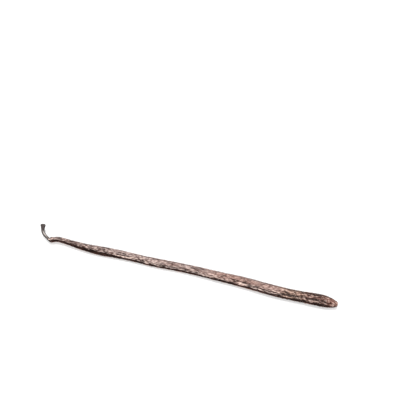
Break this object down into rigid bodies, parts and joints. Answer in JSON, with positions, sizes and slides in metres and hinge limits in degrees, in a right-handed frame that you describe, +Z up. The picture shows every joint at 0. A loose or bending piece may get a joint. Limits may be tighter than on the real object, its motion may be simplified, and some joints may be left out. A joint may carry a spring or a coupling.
{
  "type": "vanilla pod",
  "caption": "Long, thin cured vanilla pod with a furrowed leathery body, a blunt blossom end, a narrow neck and a thin stalk curled into a hook.",
  "frame": {"origin": "centre of the pod's footprint, on the surface that it lies on", "axes": "+X along the pod from the stalk to the blossom end, +Y the side that the stalk curls to, +Z up from the surface"},
  "size_m": [0.1626, 0.0094, 0.0053],
  "materials": {
    "pod_skin": "satin, oily, finely wrinkled"
  },
  "bodies": {
    "root": {"pod": "pod_skin"}
  },
  "joints": []
}
